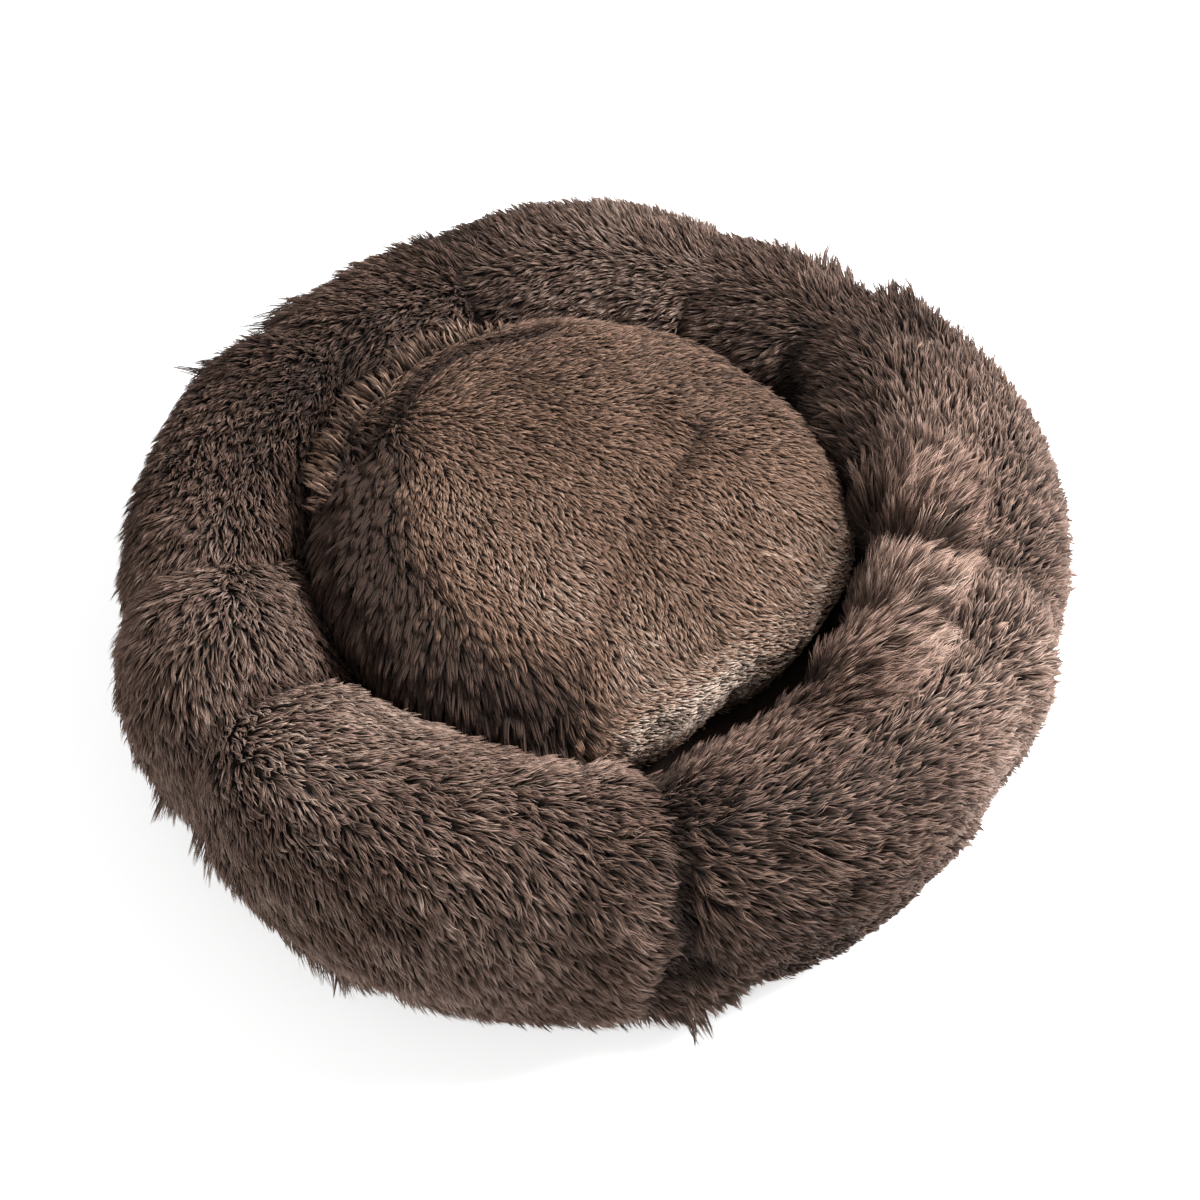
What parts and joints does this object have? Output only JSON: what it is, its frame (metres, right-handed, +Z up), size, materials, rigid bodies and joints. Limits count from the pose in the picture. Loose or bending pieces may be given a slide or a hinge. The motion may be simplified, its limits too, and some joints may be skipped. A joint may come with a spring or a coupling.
{
  "type": "pet bed",
  "caption": "Round pet bed: a thick stuffed ring in long brown pile fabric round a well that holds a loose, crowned cushion.",
  "frame": {"origin": "on the ground, under the centre of the bed's bounding box", "axes": "+Z up, -Y towards the front of the picture, +X to its right"},
  "size_m": [0.5914, 0.5894, 0.1787],
  "materials": {
    "bolster_pile": "long laid pile, brown with lighter tips",
    "cushion_pile": "shorter brushed pile, warm tan brown",
    "floor_cloth": "plain woven cloth, matt",
    "base_cloth": "woven cloth with small raised grip dots",
    "fibre_fill": "matt white fibre"
  },
  "bodies": {
    "bed": {"bolster_cover_right": "bolster_pile", "bolster_cover_back": "bolster_pile", "bolster_cover_left": "bolster_pile", "bolster_fill": "fibre_fill", "floor_panel": "floor_cloth", "base_wadding": "fibre_fill", "base_panel": "base_cloth"},
    "cushion": {"cushion_top_panel": "cushion_pile", "cushion_bottom_panel": "cushion_pile", "cushion_fill": "fibre_fill"}
  },
  "joints": [
    {"name": "cushion_lift", "type": "slide", "parent": "bed", "child": "cushion", "axis": [0, 0, 1], "range_m": [0, 0.25]}
  ]
}
